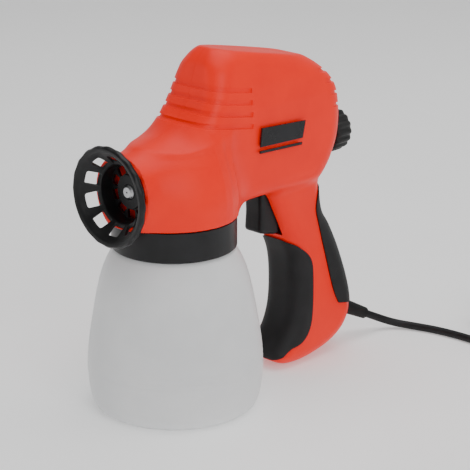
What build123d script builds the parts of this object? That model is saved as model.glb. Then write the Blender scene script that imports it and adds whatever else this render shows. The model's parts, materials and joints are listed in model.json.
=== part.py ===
from build123d import *
import math
import os

os.makedirs("parts", exist_ok=True)

# Airless paint sprayer: electromagnetic piston gun over a screw-on container.
# Frame: +Z up, origin at the centre of the container's base, spray towards -Y,
# handle towards +Y. Millimetres.

# ---------------------------------------------------------------- dimensions
WALL = 2.5                 # housing wall
ZS = 148.8                 # height of the spray axis
ZK = 154.6                 # height of the adjusting knob's axis
HEAD_HALF = 27.0           # half width of the head
GRIP_HALF = 17.0           # half width of the handle

COLLAR_R = 39.9            # screw collar
COLLAR_Z0, COLLAR_Z1 = 106.6, 126.0
SKIRT_R = 40.3             # housing skirt above the collar
CONTAINER_WALL = 1.8
NECK_R = 36.6              # container neck, outside

MOUTH_Y, MOUTH_R = -43.7, 24.2      # round mouth of the housing
RING_Y0, RING_Y1 = -56.0, -51.6     # front ring of the guard
RING_R, RING_RI = 31.9, 27.2
WINDOWS = 8

PISTON_R = 4.0
BORE_R = 4.05
STROKE = 3.0
PIVOT_Y, PIVOT_Z = 55.0, 210.0      # armature pivot
TRIG_Y, TRIG_Z = 84.5, 132.5        # trigger pivot
TRIG_HALF = 8.2
PLUNGER_Z = 118.0

KNOB_R = 15.0
KNOB_Y0, KNOB_Y1 = 137.6, 152.6

CORD_D = 5.4
COIL_C = (97.0, 252.0)     # centre of the wound cord
COIL_R = 30.0              # radius of its middle turn


def yplane(y, z=ZS, x=0.0):
    """Plane across the Y axis; extrusions from it run towards +Y."""
    return Plane(origin=(x, y, z), x_dir=(1, 0, 0), z_dir=(0, 1, 0))


def xplane(x):
    """Side-view plane: local x is Y, local y is Z; extrusions run towards +X."""
    return Plane(origin=(x, 0, 0), x_dir=(0, 1, 0), z_dir=(1, 0, 0))


# side outlines seen from +X (Y to the right, Z up)
HEAD = [(-1, 132), (0.5, 184), (14, 216), (32, 228.5), (70, 223.2),
        (106, 213.8), (127, 198), (136.3, 172), (134.5, 154), (123, 135),
        (113, 129), (10, 129)]
HANDLE = [(84, 150), (122, 150), (121.5, 124), (126, 103), (142, 74),
          (154.5, 41), (155.6, 24), (146, 11), (118, 1.2), (92, 0.6),
          (79.5, 8), (93.5, 31), (95.5, 62), (92.5, 80), (86, 94), (70, 134),
          (74, 150)]


# ---------------------------------------------------------------- housing
def shell_half(off):
    """Half of the housing's body at X >= 0, moved inwards by off."""
    # head: side outline, cut to its plan and its front view
    with BuildPart() as head:
        with BuildSketch(xplane(0)):
            with BuildLine():
                Polyline(*HEAD, close=True)
            make_face()
            fillet(vertices(), radius=5.5)
            if off:
                offset(amount=-off)
        extrude(amount=HEAD_HALF - off)
        with BuildSketch(Plane.XY.offset(100)):
            with Locations((0, 67.7)):
                RectangleRounded(2 * (HEAD_HALF - off), 2 * (68.9 - off), 20 - off)
        extrude(amount=150, mode=Mode.INTERSECT)
        with BuildSketch(yplane(-40, 0)):
            with BuildLine():
                w = off * 1.1
                Polyline((0, -100), (27 - off, -100), (27 - off, -178),
                         (22.5 - w, -204), (9.5 - w / 2, -230), (0, -230), close=True)
            make_face()
        extrude(amount=220, mode=Mode.INTERSECT)
    with BuildPart() as grip:
        with BuildSketch(xplane(0)):
            with BuildLine():
                Polyline(*HANDLE, close=True)
            make_face()
            if off:
                offset(amount=-off, kind=Kind.INTERSECTION)
        extrude(amount=GRIP_HALF - off)
        chamfer(edges().group_by(Axis.X)[-1], length=6.0 - 0.6 * off)
    # nose: flared cone about the spray axis; open at the front
    y0 = MOUTH_Y - (1.0 if off else 0.0)
    with BuildPart() as nose:
        with BuildSketch(Plane.YZ):
            with BuildLine():
                Polyline((y0, ZS), (y0, ZS + MOUTH_R - off), (-34, ZS + 24.9 - off),
                         (-22, ZS + 27.2 - off), (-8, ZS + 31.6 - off),
                         (6, ZS + 36.0 - off), (14, ZS + 30 - off), (14, ZS),
                         close=True)
            make_face()
        revolve(axis=Axis((0, 0, ZS), (0, 1, 0)))
    # skirt above the collar; open at the bottom
    z0 = COLLAR_Z1 + 0.2 - (1.0 if off else 0.0)
    with BuildPart() as skirt:
        with BuildSketch(Plane.XZ):
            with BuildLine():
                Polyline((0, z0), (SKIRT_R - off, z0), (SKIRT_R - off, 138),
                         (38.2 - off, 148), (33.6 - off, 157), (26.0 - off, 167),
                         (0, 167), close=True)
            make_face()
        revolve(axis=Axis.Z)
    with BuildPart() as whole:
        add(head.part)
        add(grip.part)
        add(nose.part)
        add(skirt.part)
        with Locations((60, 50, 120)):
            Box(120, 300, 300, mode=Mode.INTERSECT)
        # nothing of the nose or the skirt reaches down into the collar
        with Locations((30, -30, z0 - 50)):
            Box(140, 160, 100, mode=Mode.SUBTRACT)
    return whole.part


outer = shell_half(0.0)
inner = shell_half(WALL)

SCREWS = [(-12.0, 171.0), (88.0, 206.0), (116.0, 184.5), (113.0, 140.0),
          (103.0, 72.0), (138.0, 60.0), (98.0, 14.0)]   # (Y, Z)
PIN_BOSSES = [(TRIG_Y, TRIG_Z), (PIVOT_Y, PIVOT_Z)]
VENTS = [208.6, 201.0, 193.4, 185.8]     # height of each louvre at Y = 20
VENT_TILT = math.radians(-9.5)
REAR_VENTS = [(125.0, 202.0), (130.0, 194.6), (134.0, 186.4), (136.4, 178.0)]

with BuildPart() as shell_right:
    add(outer)
    add(inner, mode=Mode.SUBTRACT)
    # screw bosses
    with BuildSketch(xplane(0)):
        with Locations(*SCREWS):
            Circle(4.0)
    extrude(amount=HEAD_HALF - 1)
    # bosses for the two pivot pins
    for (y, z), x in zip(PIN_BOSSES, (9.0, 12.6)):
        with BuildSketch(xplane(x)):
            with Locations((y, z)):
                Circle(4.4)
        extrude(amount=HEAD_HALF - x)
    # bulkheads that hold the pump and the spindle's bush
    with BuildSketch(yplane(30)):
        Rectangle(60, 29)
        with Locations((0, 0)):
            Circle(13.02, mode=Mode.SUBTRACT)
    extrude(amount=3)
    with BuildSketch(yplane(109, ZK)):
        Rectangle(60, 40)
        Circle(7.02, mode=Mode.SUBTRACT)
    extrude(amount=3)
    add(outer, mode=Mode.INTERSECT)
    for (y, z), r, x in zip(PIN_BOSSES, (1.82, 2.02), (13.1, 15.1)):
        with BuildSketch(xplane(0)):
            with Locations((y, z)):
                Circle(r)
        extrude(amount=x, mode=Mode.SUBTRACT)
    with BuildSketch(xplane(0)):
        with Locations(*SCREWS):
            Circle(1.5)
    extrude(amount=11.0, mode=Mode.SUBTRACT)
    # louvres at the front of the head
    for z in VENTS:
        ya, yb = -26.0, 46.0
        za = z + (ya - 20) * math.tan(VENT_TILT)
        zb = z + (yb - 20) * math.tan(VENT_TILT)
        with BuildSketch(xplane(3.0)):
            with BuildLine():
                Polyline((ya, za - 0.8), (yb, zb - 0.8), (yb, zb + 0.8),
                         (ya, za + 0.8), close=True)
            make_face()
        extrude(amount=40, mode=Mode.SUBTRACT)
    # louvres at the back of the head
    for y, z in REAR_VENTS:
        with BuildSketch(Plane(origin=(9, y, z), x_dir=(1, 0, 0), z_dir=(0, 0.35, 1))):
            Rectangle(13, 22)
        extrude(amount=0.7, both=True, mode=Mode.SUBTRACT)
    # hole for the knob's hub
    with BuildSketch(yplane(120, ZK)):
        Circle(7.5)
    extrude(amount=40, mode=Mode.SUBTRACT)
    # slot for the trigger
    with BuildSketch(xplane(0)):
        with BuildLine():
            Polyline((60, 133.4), (70, 138.6), (94.5, 138.6), (94.5, 93.2),
                     (60, 93.2), close=True)
        make_face()
    extrude(amount=TRIG_HALF + 0.6, mode=Mode.SUBTRACT)
    # hole for the strain relief
    with BuildSketch(Plane(origin=(0, 149.4, 29.46), x_dir=(1, 0, 0), z_dir=(0, 0.898, -0.44))):
        Circle(5.6)
    extrude(amount=20, mode=Mode.SUBTRACT)
    # opening for the lid boss at the bottom is the open skirt itself
    with Locations((60, 50, 120)):
        Box(120, 300, 300, mode=Mode.INTERSECT)


def finish(builder, name):
    """Label a finished piece and write it."""
    builder.part.label = name
    export_step(builder.part, "parts/" + name + ".step")


finish(shell_right, "housing_right")

with BuildPart() as shell_left:
    add(mirror(shell_right.part, about=Plane.YZ, mode=Mode.PRIVATE))
finish(shell_left, "housing_left")

# screws through the bosses, driven from the left side
with BuildPart() as screws:
    with BuildSketch(xplane(-10.5)):
        with Locations(*SCREWS):
            Circle(1.45)
    extrude(amount=20.5)
finish(screws, "housing_screws")


# ---------------------------------------------------------------- soft grips
def handle_solid(grow):
    with BuildPart() as solid:
        with BuildSketch(xplane(0)):
            with BuildLine():
                Polyline(*HANDLE, close=True)
            make_face()
            if grow:
                offset(amount=grow, kind=Kind.INTERSECTION)
        extrude(amount=GRIP_HALF + grow, both=True)
        chamfer(edges().group_by(Axis.X)[-1] + edges().group_by(Axis.X)[0],
                length=6.0 + 0.6 * grow)
    return solid.part


handle_now = handle_solid(0.0)
handle_grown = handle_solid(1.2)

FRONT_GRIP = [(80, 91), (92, 88.5), (101, 83), (108.5, 75), (111, 64),
              (111, 38), (108.5, 25), (102, 17.5), (92, 14.6), (70, 13.5)]
REAR_GRIP = [(130, 126), (119, 124.5), (115, 119), (113.6, 109), (117, 95),
             (124, 72), (131, 50), (136, 39), (141, 35.4), (170, 34.2),
             (170, 60), (150, 110)]

with BuildPart() as front_grip:
    add(handle_grown)
    with BuildSketch(xplane(-30)):
        with BuildLine():
            Polyline(*FRONT_GRIP, close=True)
        make_face()
    extrude(amount=60, mode=Mode.INTERSECT)
    add(handle_now, mode=Mode.SUBTRACT)
finish(front_grip, "front_grip")

with BuildPart() as rear_grip:
    add(handle_grown)
    with BuildSketch(xplane(-30)):
        with BuildLine():
            Polyline(*REAR_GRIP, close=True)
        make_face()
    extrude(amount=60, mode=Mode.INTERSECT)
    add(handle_now, mode=Mode.SUBTRACT)
finish(rear_grip, "rear_grip")

# plain plate with a line below it, on each side of the head
PLATE = [(49.5, 165.6), (88.5, 164.6), (91.0, 175.8), (51.0, 177.8)]
LINE = [(49.2, 161.4), (87.6, 160.2), (87.9, 161.9), (49.3, 163.1)]
for side, name in ((1, "badge_right"), (-1, "badge_left")):
    with BuildPart() as badge:
        with BuildSketch(xplane(side * HEAD_HALF)):
            with BuildLine():
                Polyline(*PLATE, close=True)
            make_face()
            with BuildLine():
                Polyline(*LINE, close=True)
            make_face()
        extrude(amount=side * 0.8)
    finish(badge, name)

# ---------------------------------------------------------------- container
PROFILE = [(48.0, 0.0), (51.2, 1.2), (53.4, 4.5), (55.0, 9.5), (56.3, 20.0),
           (56.6, 31.0), (55.3, 44.0), (53.2, 58.6), (50.2, 74.6),
           (46.3, 90.0), (41.4, 102.0), (38.6, 106.0), (NECK_R, 106.2)]
with BuildPart() as container:
    with BuildSketch(Plane.XZ):
        with BuildLine():
            Polyline((0, 0), *PROFILE, (NECK_R, 118.4), (NECK_R - 2.2, 118.4),
                     (NECK_R - 2.2, 105.4),
                     *[(r - CONTAINER_WALL - 0.1, z - 0.9) for r, z in PROFILE[10:2:-1]],
                     (49.6, 3.4), (46.6, 1.9), (0, 1.9), close=True)
        make_face()
    revolve(axis=Axis.Z)
finish(container, "container")

# screw collar with the container's lid; fixed to the housing
with BuildPart() as collar:
    with BuildSketch(Plane.XZ):
        with BuildLine():
            Polyline((9.2, 121.2), (37.2, 121.2), (37.2, COLLAR_Z0),
                     (COLLAR_R - 0.5, COLLAR_Z0), (COLLAR_R, COLLAR_Z0 + 0.6),
                     (COLLAR_R, COLLAR_Z1 - 0.4), (COLLAR_R - 0.5, COLLAR_Z1),
                     (9.2, COLLAR_Z1), close=True)
        make_face()
    revolve(axis=Axis.Z)
    with Locations((0, -20, 120)):
        Cylinder(3.05, 20, mode=Mode.SUBTRACT)
finish(collar, "collar")

with BuildPart() as seal:
    with BuildSketch(Plane.XY.offset(118.8)):
        Circle(36.8)
        Circle(33.0, mode=Mode.SUBTRACT)
    extrude(amount=2.4)
finish(seal, "container_seal")

# ---------------------------------------------------------------- pump
with BuildPart() as pump:
    with BuildSketch(yplane(-20)):
        Circle(13.0)
    extrude(amount=58)
    with BuildSketch(yplane(-33)):
        Circle(7.8)
    extrude(amount=13)
    with BuildSketch(Plane.XY.offset(112)):
        Circle(9.0)
    extrude(amount=30)
    # piston bore from the back, valve chamber from the front
    with BuildSketch(yplane(4)):
        Circle(BORE_R)
    extrude(amount=40, mode=Mode.SUBTRACT)
    with BuildSketch(yplane(-34)):
        Circle(5.0)
    extrude(amount=26, mode=Mode.SUBTRACT)
    with BuildSketch(yplane(-9)):
        Circle(1.5)
    extrude(amount=14, mode=Mode.SUBTRACT)
    # suction port with the tube's socket, and the return port
    with BuildSketch(Plane.XY.offset(111)):
        with Locations((0, 4)):
            Circle(1.8)
    extrude(amount=30, mode=Mode.SUBTRACT)
    with BuildSketch(Plane.XY.offset(111)):
        with Locations((0, 4)):
            Circle(3.6)
    extrude(amount=11, mode=Mode.SUBTRACT)
finish(pump, "pump_body")

with BuildPart() as valve:
    with BuildSketch(yplane(-32.8)):
        Circle(4.9)
        Circle(0.9, mode=Mode.SUBTRACT)
    extrude(amount=17)
finish(valve, "atomiser_valve")

with BuildPart() as valve_spring:
    with BuildSketch(yplane(-15.7)):
        Circle(4.6)
        Circle(3.6, mode=Mode.SUBTRACT)
    extrude(amount=7.5)
finish(valve_spring, "valve_spring")

with BuildPart() as piston:
    with BuildSketch(yplane(8)):
        Circle(PISTON_R)
    extrude(amount=40)
    with BuildSketch(yplane(48)):
        Circle(6.5)
    extrude(amount=2)
    with BuildSketch(yplane(50)):
        Circle(3.0)
    extrude(amount=2.75)
finish(piston, "piston")

with BuildPart() as piston_spring:
    with BuildSketch(yplane(38.05)):
        Circle(6.0)
        Circle(4.7, mode=Mode.SUBTRACT)
    extrude(amount=9.9)
finish(piston_spring, "piston_spring")

# ---------------------------------------------------------------- suction
with BuildPart() as suction_tube:
    with BuildSketch(Plane.XY.offset(20)):
        with Locations((0, 4)):
            Circle(3.55)
            Circle(2.3, mode=Mode.SUBTRACT)
    extrude(amount=101)
finish(suction_tube, "suction_tube")

with BuildPart() as suction_filter:
    with BuildSketch(Plane.XY.offset(7)):
        with Locations((0, 4)):
            Circle(8.5)
    extrude(amount=20)
    fillet(edges().group_by(Axis.Z)[0], radius=2)
    with BuildSketch(Plane.XY.offset(9)):
        with Locations((0, 4)):
            Circle(3.6)
    extrude(amount=20, mode=Mode.SUBTRACT)
    with BuildSketch(Plane.XY.offset(12)):
        with Locations((0, 4)):
            with PolarLocations(8.5, 8):
                Rectangle(6, 2.2)
    extrude(amount=10, mode=Mode.SUBTRACT)
finish(suction_filter, "suction_filter")

with BuildPart() as return_tube:
    with BuildSketch(Plane.XY.offset(72)):
        with Locations((0, -20)):
            Circle(3.0)
            Circle(1.9, mode=Mode.SUBTRACT)
    extrude(amount=58)
finish(return_tube, "return_tube")

# ---------------------------------------------------------------- nozzle
with BuildPart() as tip:
    with BuildSketch(yplane(-35.4)):
        Circle(6.6)
    extrude(amount=2.2)
    with BuildSketch(yplane(-39.4)):
        Circle(4.6)
    extrude(amount=4)
    chamfer(edges().group_by(Axis.Y)[0], length=1.4)
    with BuildSketch(yplane(-40)):
        Circle(0.6)
    extrude(amount=10, mode=Mode.SUBTRACT)
finish(tip, "nozzle_tip")

with BuildPart() as nut:
    with BuildSketch(yplane(-37.6)):
        Circle(10.6)
    extrude(amount=16.6)
    with BuildSketch(yplane(-35.8)):
        Circle(8.15)
    extrude(amount=20, mode=Mode.SUBTRACT)
    with BuildSketch(yplane(-38)):
        Circle(4.9)
    extrude(amount=4, mode=Mode.SUBTRACT)
finish(nut, "union_nut")

with BuildPart() as guard:
    with BuildSketch(Plane.YZ):
        with BuildLine():
            Polyline((RING_Y0, ZS + RING_RI), (RING_Y0, ZS + RING_R - 1.0),
                     (RING_Y0 + 1.0, ZS + RING_R), (RING_Y1, ZS + RING_R),
                     (RING_Y1, ZS + RING_RI + 1.2),
                     (-44.0, ZS + 20.4), (-34.0, ZS + 20.0), (-34.0, ZS + 10.6),
                     (-36.0, ZS + 10.6), (-36.0, ZS + 18.0), (-44.8, ZS + 18.4),
                     (-52.8, ZS + 25.6), close=True)
        make_face()
    revolve(axis=Axis((0, 0, ZS), (0, 1, 0)))
    # square windows in the sloping wall
    with BuildSketch(yplane(RING_Y1 - 0.4)):
        with PolarLocations(23.6, WINDOWS, start_angle=22.5):
            Rectangle(5.6, 11.4)
    extrude(amount=9, mode=Mode.SUBTRACT)
    # windows in the floor
    with BuildSketch(yplane(-38)):
        with PolarLocations(14.4, WINDOWS, start_angle=22.5):
            Rectangle(4.4, 6.4)
    extrude(amount=6, mode=Mode.SUBTRACT)
    # scallops between the lobes of the front ring
    with BuildSketch(yplane(RING_Y0 - 1)):
        with PolarLocations(RING_R + 1.1, WINDOWS, start_angle=22.5 - 1.5):
            Circle(1.8)
    extrude(amount=8, mode=Mode.SUBTRACT)
finish(guard, "nozzle_guard")

# ---------------------------------------------------------------- drive
with BuildPart() as core:
    with BuildSketch(xplane(-12)):
        with BuildLine():
            Polyline((14.6, 172), (50, 172), (50, 182), (19.2, 182), (19.2, 197),
                     (50, 197), (50, 204), (14.6, 204), close=True)
        make_face()
    extrude(amount=24)
finish(core, "electromagnet_core")

with BuildPart() as coil:
    with BuildSketch(yplane(19.5, 177)):
        RectangleRounded(38, 24, 5)
        Rectangle(24.2, 10.2, mode=Mode.SUBTRACT)
    extrude(amount=28)
finish(coil, "coil")

with BuildPart() as armature:
    with BuildSketch(xplane(-12)):
        with BuildLine():
            Polyline((53, 142.5), (57, 142.5), (57, 210), (53, 210), close=True)
        make_face()
        with Locations((PIVOT_Y, PIVOT_Z)):
            Circle(4.2)
            Circle(2.05, mode=Mode.SUBTRACT)
    extrude(amount=24)
finish(armature, "armature")

with BuildPart() as armature_pin:
    with BuildSketch(xplane(-15)):
        with Locations((PIVOT_Y, PIVOT_Z)):
            Circle(2.0)
    extrude(amount=30)
finish(armature_pin, "armature_pin")

with BuildPart() as bumper:
    with BuildSketch(yplane(57, ZK)):
        Circle(5.0)
    extrude(amount=3.0)
finish(bumper, "armature_bumper")

# ---------------------------------------------------------------- adjuster
with BuildPart() as spindle:
    with BuildSketch(yplane(60.3, ZK)):
        Circle(3.5)
    extrude(amount=83)
finish(spindle, "adjusting_spindle")

with BuildPart() as bush:
    with BuildSketch(yplane(106, ZK)):
        Circle(7.0)
        Circle(3.56, mode=Mode.SUBTRACT)
    extrude(amount=10)
finish(bush, "spindle_bush")

with BuildPart() as knob:
    with BuildSketch(yplane(KNOB_Y0, ZK)):
        Circle(KNOB_R)
        with PolarLocations(KNOB_R + 0.9, 16):
            Circle(1.7, mode=Mode.SUBTRACT)
    extrude(amount=KNOB_Y1 - KNOB_Y0)
    chamfer(edges().group_by(Axis.Y)[-1], length=0.9)
    with BuildSketch(yplane(124, ZK)):
        Circle(7.1)
    extrude(amount=14)
    with BuildSketch(yplane(123, ZK)):
        Circle(3.8)
    extrude(amount=24.5, mode=Mode.SUBTRACT)
finish(knob, "adjust_knob")

# ---------------------------------------------------------------- trigger
with BuildPart() as trigger:
    with BuildSketch(xplane(-TRIG_HALF)):
        with BuildLine():
            Polyline((70.6, 127.0), (70.9, 112), (70.2, 100.5), (72.6, 98.2),
                     (85.6, 95.0), (88.2, 97.0), (88.6, 110), (88.6, 128),
                     (88.9, 135.4), (84.5, 137.0), (79.5, 135.4), (77.0, 131),
                     close=True)
        make_face()
        with Locations((TRIG_Y, TRIG_Z)):
            Circle(1.85, mode=Mode.SUBTRACT)
    extrude(amount=2 * TRIG_HALF)
    fillet(edges().filter_by(Axis.Z, tolerance=6).group_by(Axis.Y)[0], radius=2.4)
finish(trigger, "trigger")

with BuildPart() as trigger_pin:
    with BuildSketch(xplane(-GRIP_HALF + 4)):
        with Locations((TRIG_Y, TRIG_Z)):
            Circle(1.8)
    extrude(amount=2 * GRIP_HALF - 8)
finish(trigger_pin, "trigger_pin")

with BuildPart() as switch_body:
    with BuildSketch(xplane(-5)):
        with Locations((104, 112)):
            Rectangle(14, 26)
    extrude(amount=10)
    with BuildSketch(yplane(96, PLUNGER_Z)):
        Circle(2.05)
    extrude(amount=8, mode=Mode.SUBTRACT)
finish(switch_body, "switch_body")

with BuildPart() as switch_plunger:
    with BuildSketch(yplane(89.2, PLUNGER_Z)):
        Circle(2.0)
    extrude(amount=11)
finish(switch_plunger, "switch_plunger")

with BuildPart() as trigger_spring:
    with BuildSketch(yplane(88.8, 104)):
        Circle(2.6)
        Circle(1.8, mode=Mode.SUBTRACT)
    extrude(amount=8)
finish(trigger_spring, "trigger_spring")

# ---------------------------------------------------------------- cable entry
BOOT = Vector(0, 0.898, -0.44).normalized()         # out of the heel
BOOT_A = Vector(0, 144.7, 31.8)                     # inner end
BOOT_B = BOOT_A + BOOT * 15.5                       # at the heel's surface
BOOT_TIP = Vector(5.0, 179.0, 14.6)
BOOT_OUT = (BOOT_TIP - BOOT_B).normalized()
plane_a = Plane(origin=BOOT_A, x_dir=(1, 0, 0), z_dir=BOOT)
plane_b = Plane(origin=BOOT_B, x_dir=(1, 0, 0), z_dir=BOOT)
plane_tip = Plane(origin=BOOT_TIP, x_dir=(1, 0, 0), z_dir=BOOT_OUT)
with BuildPart() as relief:
    with BuildSketch(plane_a):
        Circle(5.2)
    extrude(amount=15.5)
    with BuildSketch(plane_b):
        Circle(5.2)
    with BuildSketch(plane_tip):
        Circle(4.1)
    loft()
    with BuildSketch(plane_a.offset(1)):
        Circle(6.2)
    extrude(amount=2.4)
    with BuildSketch(plane_a.offset(-1)):
        Circle(CORD_D / 2 - 0.2)
    extrude(amount=14, mode=Mode.SUBTRACT)
finish(relief, "strain_relief")

with BuildPart() as clamp:
    with Locations((0, 136, 38.5)):
        Box(20, 7, 4)
    with Locations((-7, 136, 38.5), (7, 136, 38.5)):
        Cylinder(1.6, 6, mode=Mode.SUBTRACT)
finish(clamp, "cable_clamp")

with BuildPart() as clamp_screws:
    with Locations((-7, 136, 38.5), (7, 136, 38.5)):
        Cylinder(1.5, 6)
    with Locations((-7, 136, 41.2), (7, 136, 41.2)):
        Cylinder(2.6, 1.4)
finish(clamp_screws, "clamp_screws")

# two insulated leads from the clamp to the switch and on to the coil
with BuildPart() as leads:
    for x, top in ((-2.0, 97.0), (7.4, 150.0)):
        with BuildLine() as run:
            FilletPolyline((x, 134, 45), (x, 124, 62), (x, 111, 84), (x, 105, top),
                           radius=8)
        with BuildSketch(Plane(origin=(x, 134, 45), z_dir=(0, -10, 17))):
            Circle(1.2)
        sweep(path=run.line)
finish(leads, "lead_wires")

# ---------------------------------------------------------------- mains lead
ROUTE = [(5.0, 179.0, 14.6), tuple(BOOT_TIP + BOOT_OUT * 12.0),
         (14.5, 199.5, 4.4), (26.5, 207.5, 2.8), (45.0, 213.5, 2.8),
         (70.0, 216.2, 2.8), (97.0, 216.6, 2.8)]
radii = []
for a, b, c in zip(ROUTE[:-2], ROUTE[1:-1], ROUTE[2:]):
    u, v = Vector(*b) - Vector(*a), Vector(*c) - Vector(*b)
    turn = math.radians(u.get_angle(v))
    radii.append(0.45 * min(u.length, v.length) / math.tan(turn / 2))
print("cord radii", [round(r, 1) for r in radii])
print("route", [tuple(round(v, 2) for v in p) for p in ROUTE])
with BuildPart() as cord:
    with BuildLine() as route:
        FilletPolyline(*ROUTE, radius=radii)
    with BuildSketch(Plane(origin=ROUTE[0], z_dir=Vector(*ROUTE[1]) - Vector(*ROUTE[0]))):
        Circle(CORD_D / 2)
    sweep(path=route.line)
print("cord volume", cord.part.volume, "section x length",
      math.pi * CORD_D ** 2 / 4 * sum(e.length for e in route.line.edges()),
      "length", sum(e.length for e in route.line.edges()))
finish(cord, "mains_cord")

with BuildPart() as coil_of_cord:
    with BuildSketch(Plane.XY):
        with Locations(COIL_C):
            Circle(COIL_R + 1.5 * CORD_D)
            Circle(COIL_R - 1.5 * CORD_D, mode=Mode.SUBTRACT)
    extrude(amount=3 * CORD_D)
finish(coil_of_cord, "cord_coil")

PLUG_Z = 3 * CORD_D + 6.9
PLUG_Y = COIL_C[1] + 12.5
with BuildPart() as plug:
    with BuildSketch(Plane.XY.offset(PLUG_Z - 6.85)):
        with Locations((COIL_C[0] - 20, PLUG_Y)):
            RectangleRounded(35, 26, 6)
    extrude(amount=13.7)
    with BuildSketch(Plane(origin=(COIL_C[0] - 2.5, PLUG_Y, PLUG_Z), z_dir=(1, 0, 0))):
        Circle(5.4)
    with BuildSketch(Plane(origin=(COIL_C[0] + 9.5, PLUG_Y, PLUG_Z), z_dir=(1, 0, 0))):
        Circle(3.6)
    loft()
    with BuildSketch(Plane(origin=(COIL_C[0] - 37, PLUG_Y, PLUG_Z), z_dir=(-1, 0, 0))):
        with Locations((0, -9.5), (0, 9.5)):
            Circle(2.0)
    extrude(amount=19)
finish(plug, "plug")
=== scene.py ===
import json
import math

import bmesh
import bpy
import numpy as np
from mathutils import Matrix, Vector


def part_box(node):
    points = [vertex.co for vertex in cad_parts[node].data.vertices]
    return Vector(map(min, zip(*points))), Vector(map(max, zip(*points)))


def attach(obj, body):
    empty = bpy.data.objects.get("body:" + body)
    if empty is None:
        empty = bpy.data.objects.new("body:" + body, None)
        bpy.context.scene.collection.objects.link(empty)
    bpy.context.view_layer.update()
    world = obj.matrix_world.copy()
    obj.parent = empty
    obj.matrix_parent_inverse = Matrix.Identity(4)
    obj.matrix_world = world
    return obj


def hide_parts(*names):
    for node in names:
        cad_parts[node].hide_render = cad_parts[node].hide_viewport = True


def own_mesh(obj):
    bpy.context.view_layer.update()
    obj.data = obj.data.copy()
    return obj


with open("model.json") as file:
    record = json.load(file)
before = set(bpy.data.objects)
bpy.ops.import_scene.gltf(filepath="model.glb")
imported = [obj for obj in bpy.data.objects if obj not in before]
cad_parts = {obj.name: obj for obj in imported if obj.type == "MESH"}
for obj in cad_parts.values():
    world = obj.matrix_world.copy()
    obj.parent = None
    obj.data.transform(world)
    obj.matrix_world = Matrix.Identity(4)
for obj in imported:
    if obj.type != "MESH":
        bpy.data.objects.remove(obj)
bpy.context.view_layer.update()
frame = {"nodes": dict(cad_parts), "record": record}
MM = 0.001
COLL = bpy.context.scene.collection

# shared sizes, millimetres
ZS, ZK = 148.8, 154.6
HEAD_HALF, GRIP_HALF = 27.0, 17.0


# ------------------------------------------------------------------ camera
def make_camera():
    az, el, dist = math.radians(45.0), math.radians(18.0), 1.2
    back = Vector((math.sin(az) * math.cos(el), -math.cos(az) * math.cos(el), math.sin(el)))
    target = Vector((0.02715, 0.02715, 0.11253))
    data = bpy.data.cameras.new("camera")
    cam = bpy.data.objects.new("camera", data)
    COLL.objects.link(cam)
    cam.location = target + back * dist
    cam.rotation_euler = back.to_track_quat("Z", "Y").to_euler()
    data.lens = 145.43
    data.sensor_width = 36.0
    data.clip_start = 0.05
    bpy.context.scene.camera = cam


make_camera()


# ------------------------------------------------------------------ materials
def new_material(name):
    mat = bpy.data.materials.new(name)
    mat.use_nodes = True
    nt = mat.node_tree
    bsdf = nt.nodes["Principled BSDF"]
    return mat, nt, bsdf


def surface(name, dark, light, rough=(0.35, 0.45), scale=90.0, fine=1400.0,
            bump=0.06, bump_distance=0.0004, metallic=0.0, specular=0.5,
            coat=0.0, coat_rough=0.2, detail=4.0, stretch=(1, 1, 1), blotch=0.5,
            wear=None):
    """Moulded or machined surface: mottled colour, uneven gloss and a fine grain."""
    mat, nt, bsdf = new_material(name)
    n, l = nt.nodes, nt.links
    coord = n.new("ShaderNodeTexCoord")
    mapping = n.new("ShaderNodeMapping")
    mapping.inputs["Scale"].default_value = stretch
    l.new(coord.outputs["Object"], mapping.inputs["Vector"])
    big = n.new("ShaderNodeTexNoise")
    big.inputs["Scale"].default_value = scale
    big.inputs["Detail"].default_value = detail
    big.inputs["Roughness"].default_value = blotch
    l.new(mapping.outputs["Vector"], big.inputs["Vector"])
    ramp = n.new("ShaderNodeValToRGB")
    ramp.color_ramp.elements[0].position = 0.3
    ramp.color_ramp.elements[0].color = (*dark, 1)
    ramp.color_ramp.elements[1].position = 0.7
    ramp.color_ramp.elements[1].color = (*light, 1)
    l.new(big.outputs["Fac"], ramp.inputs["Fac"])
    colour = ramp.outputs["Color"]
    if wear is not None:
        geo = n.new("ShaderNodeNewGeometry")
        wr = n.new("ShaderNodeMapRange")
        wr.inputs["From Min"].default_value = 0.53
        wr.inputs["From Max"].default_value = 0.60
        wr.inputs["To Max"].default_value = 0.55
        l.new(geo.outputs["Pointiness"], wr.inputs["Value"])
        mix = n.new("ShaderNodeMix")
        mix.data_type = "RGBA"
        mix.inputs["B"].default_value = (*wear, 1)
        l.new(wr.outputs["Result"], mix.inputs["Factor"])
        l.new(colour, mix.inputs["A"])
        colour = mix.outputs["Result"]
    l.new(colour, bsdf.inputs["Base Color"])
    small = n.new("ShaderNodeTexNoise")
    small.inputs["Scale"].default_value = fine
    small.inputs["Detail"].default_value = 3.0
    l.new(mapping.outputs["Vector"], small.inputs["Vector"])
    rr = n.new("ShaderNodeMapRange")
    rr.inputs["To Min"].default_value = rough[0]
    rr.inputs["To Max"].default_value = rough[1]
    l.new(big.outputs["Fac"], rr.inputs["Value"])
    l.new(rr.outputs["Result"], bsdf.inputs["Roughness"])
    bp = n.new("ShaderNodeBump")
    bp.inputs["Strength"].default_value = bump
    bp.inputs["Distance"].default_value = bump_distance
    l.new(small.outputs["Fac"], bp.inputs["Height"])
    l.new(bp.outputs["Normal"], bsdf.inputs["Normal"])
    bsdf.inputs["Metallic"].default_value = metallic
    bsdf.inputs["Specular IOR Level"].default_value = specular * (1.0 if metallic or light[0] > 0.3 else 0.55)
    bsdf.inputs["Coat Weight"].default_value = coat
    bsdf.inputs["Coat Roughness"].default_value = coat_rough
    return mat


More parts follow.
